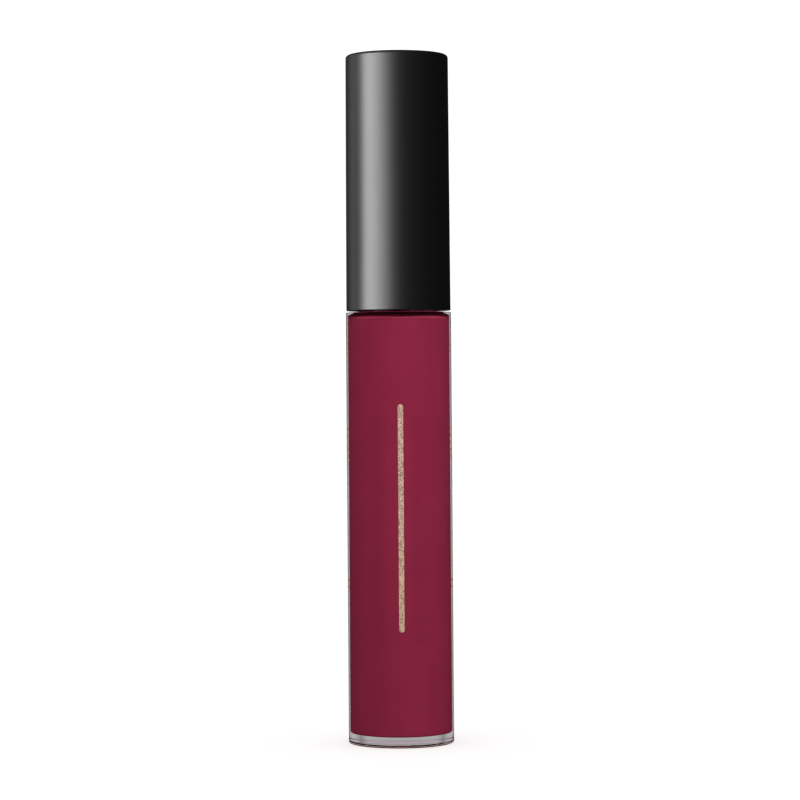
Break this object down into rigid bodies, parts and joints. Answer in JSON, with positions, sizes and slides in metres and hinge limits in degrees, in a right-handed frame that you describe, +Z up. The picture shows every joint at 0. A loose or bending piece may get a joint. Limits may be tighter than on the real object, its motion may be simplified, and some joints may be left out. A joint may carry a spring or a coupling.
{
  "type": "lip gloss tube",
  "caption": "Slim lip gloss tube with a thick-walled clear bottle, a screw-on satin black cap and an attached wand with a flocked tip.",
  "frame": {"origin": "centre of the bottle's resting foot, on the tube's long axis", "axes": "+Z up the long axis from the foot to the cap's top, -Y towards the front, where the foil stripe is, +X to the right seen from the front"},
  "size_m": [0.018, 0.018, 0.1175],
  "materials": {
    "clear_petg": "polished",
    "berry_gloss": "wet",
    "gold_foil": "sparkling",
    "beige_ink": "matte",
    "natural_polyethylene": "satin",
    "white_foam": "matte",
    "black_stem": "satin",
    "white_nylon": "satin",
    "flock_fibre": "velvety",
    "black_liner": "satin",
    "satin_black": "satin"
  },
  "bodies": {
    "tube": {"bottle": "clear_petg", "gloss_fill": "berry_gloss", "foil_stripe": "gold_foil", "back_print": "beige_ink", "wiper": "natural_polyethylene"},
    "washer": {"seal_washer": "white_foam"},
    "wand_rod": {"rod": "black_stem"},
    "cap": {"cap_shell": "satin_black", "cap_liner": "black_liner", "applicator_core": "white_nylon", "flock": "flock_fibre"}
  },
  "joints": [
    {"name": "cap_pull", "type": "slide", "parent": "tube", "child": "washer", "axis": [0, 0, 1], "range_m": [0, 0.09]},
    {"name": "cap_rise", "type": "slide", "parent": "washer", "child": "wand_rod", "axis": [0, 0, 1], "range_m": [0, 0.00301]},
    {"name": "cap_turn", "type": "hinge", "parent": "wand_rod", "child": "cap", "pos_m": [0, 0, 0.0738], "axis": [0, 0, 1], "range_deg": [0, 450]}
  ],
  "couplings": [
    {"joint": "cap_rise", "follows": "cap_turn", "m_per_rad": 0.00038197}
  ]
}
